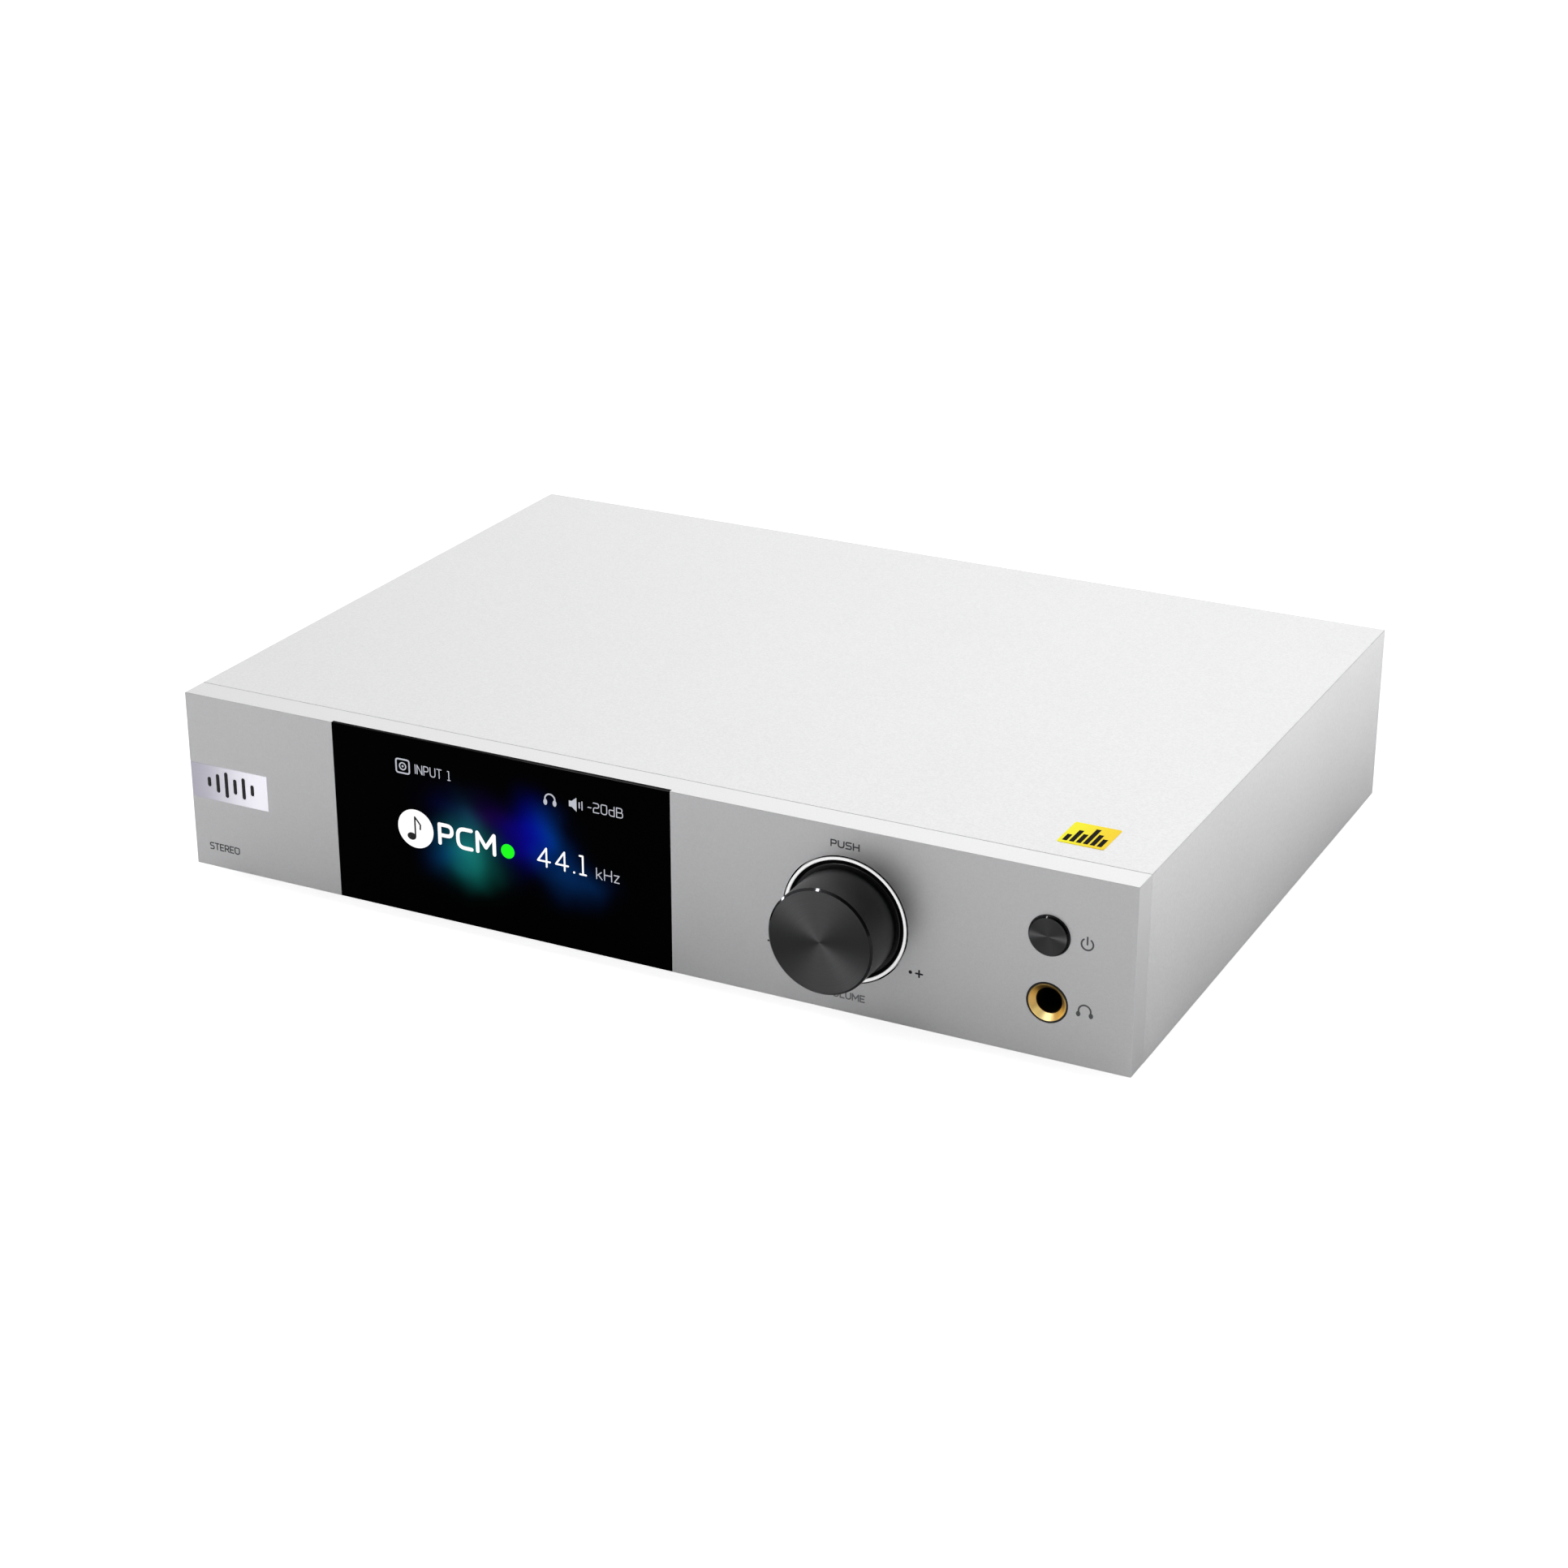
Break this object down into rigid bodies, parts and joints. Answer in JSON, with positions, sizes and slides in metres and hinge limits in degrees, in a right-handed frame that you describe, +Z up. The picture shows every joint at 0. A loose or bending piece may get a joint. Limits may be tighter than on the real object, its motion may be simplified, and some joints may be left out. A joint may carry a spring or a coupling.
{
  "type": "desktop digital-to-analogue converter",
  "caption": "Low silver metal desktop audio converter with a black display window, a large volume knob, a power button and a headphone socket on its front, and audio and mains sockets behind.",
  "frame": {"origin": "centre of the outline seen from above, on the plane that the rubber feet rest on", "axes": "+X to the right of the front panel, +Y to the rear, +Z up"},
  "size_m": [0.27, 0.213, 0.0532],
  "materials": {
    "front_aluminium": "bead-blasted, anodised silver, satin",
    "case_aluminium": "bead-blasted, anodised silver, fine speckle",
    "base_steel": "black powder coat",
    "rear_paint": "fine black powder coat",
    "rail_aluminium": "plain extruded",
    "display_glass": "polished black front lens",
    "badge_metal": "bright satin plate",
    "knob_metal": "black anodised, spun face, polished bevel",
    "light_ring": "translucent white ring, lit from behind",
    "black_plastic": "moulded, matt",
    "rocker_plastic": "moulded, fine matt",
    "button_metal": "black anodised, spun face",
    "gold_plate": "gold plated",
    "contact_metal": "tin plated",
    "xlr_metal": "black coated die casting",
    "white_plastic": "natural moulded",
    "shutter_plastic": "moulded, matt",
    "steel_parts": "turned",
    "zinc_parts": "die cast, threaded",
    "screw_steel": "black oxide",
    "foot_rubber": "moulded, matt",
    "circuit_board": "solder mask",
    "lcd_module": "display module",
    "ribbon_plastic": "flat ribbon",
    "capacitor_sleeve": "shrink sleeve with bare aluminium top",
    "relay_plastic": "moulded",
    "transformer": "taped winding on a ferrite core",
    "heatsink_aluminium": "extruded",
    "wire_plastic": "insulated wire",
    "label_foil": "printed foil, gold and black"
  },
  "bodies": {
    "root": {"front_panel": "front_aluminium", "top_cover": "case_aluminium", "bottom_plate": "base_steel", "rear_panel": "rear_paint", "side_rails": "rail_aluminium", "display_glass": "display_glass", "badge_plate": "badge_metal", "knob_light_ring": "light_ring", "knob_dish": "black_plastic", "encoder_housing": "black_plastic", "headphone_jack_body": "black_plastic", "rocker_frame": "black_plastic", "mains_inlet": "black_plastic", "optical_sockets": "black_plastic", "power_switch_body": "black_plastic", "main_chips": "black_plastic", "xlr_inserts": "black_plastic", "headphone_bezel": "gold_plate", "rca_barrels": "gold_plate", "antenna_socket": "gold_plate", "headphone_contacts": "contact_metal", "mains_pins": "contact_metal", "xlr_pins": "contact_metal", "usb_socket": "contact_metal", "shield_can": "contact_metal", "xlr_shells": "xlr_metal", "rca_insulators": "white_plastic", "usb_tongue": "white_plastic", "encoder_nut": "steel_parts", "front_board_spacers": "steel_parts", "board_standoffs": "steel_parts", "encoder_bushing": "zinc_parts", "bottom_screws": "screw_steel", "foot_screws": "screw_steel", "rear_panel_screws": "screw_steel", "board_screws": "screw_steel", "rubber_feet": "foot_rubber", "front_board": "circuit_board", "main_board": "circuit_board", "psu_board": "circuit_board", "lcd_panel": "lcd_module", "display_ribbon": "ribbon_plastic", "audio_capacitors": "capacitor_sleeve", "psu_capacitors": "capacitor_sleeve", "output_relays": "relay_plastic", "psu_transformer": "transformer", "psu_heatsink": "heatsink_aluminium", "mains_wires": "wire_plastic", "low_voltage_wires": "wire_plastic", "top_label": "label_foil"},
    "encoder_rotor": {"encoder_rotor": "white_plastic"},
    "knob": {"volume_knob": "knob_metal", "knob_insert": "black_plastic", "encoder_shaft": "steel_parts"},
    "encoder_plunger": {"encoder_plunger": "black_plastic"},
    "power_button": {"power_button": "button_metal", "power_switch_plunger": "black_plastic"},
    "mains_rocker": {"power_rocker": "rocker_plastic"},
    "optical_flap_1": {"optical_shutter_1": "shutter_plastic"},
    "optical_flap_2": {"optical_shutter_2": "shutter_plastic"}
  },
  "joints": [
    {"name": "knob_turn", "type": "hinge", "parent": "root", "child": "encoder_rotor", "pos_m": [0.05975, -0.0855, 0.0285], "axis": [0, 1, 0], "continuous": true},
    {"name": "knob_press", "type": "slide", "parent": "encoder_rotor", "child": "knob", "axis": [0, 1, 0], "range_m": [0, 0.0005], "stiffness_N_per_m": 600, "springref_m": -0.0015},
    {"name": "plunger_press", "type": "slide", "parent": "root", "child": "encoder_plunger", "axis": [0, 1, 0], "range_m": [0, 0.0005]},
    {"name": "power_button_press", "type": "slide", "parent": "root", "child": "power_button", "axis": [0, 1, 0], "range_m": [0, 0.0004], "stiffness_N_per_m": 500, "springref_m": -0.001},
    {"name": "mains_rocker_tilt", "type": "hinge", "parent": "root", "child": "mains_rocker", "pos_m": [-0.085, 0.0947, 0.0275], "axis": [1, 0, 0], "range_deg": [0, 16]},
    {"name": "optical_flap_1_swing", "type": "hinge", "parent": "root", "child": "optical_flap_1", "pos_m": [0.07, 0.096, 0.02295], "axis": [1, 0, 0], "range_deg": [-82, 0], "stiffness_Nm_per_rad": 0.00005, "springref_deg": 5.73},
    {"name": "optical_flap_2_swing", "type": "hinge", "parent": "root", "child": "optical_flap_2", "pos_m": [0.085, 0.096, 0.02295], "axis": [1, 0, 0], "range_deg": [-82, 0], "stiffness_Nm_per_rad": 0.00005, "springref_deg": 5.73}
  ],
  "couplings": [
    {"joint": "plunger_press", "follows": "knob_press", "ratio": 1}
  ]
}
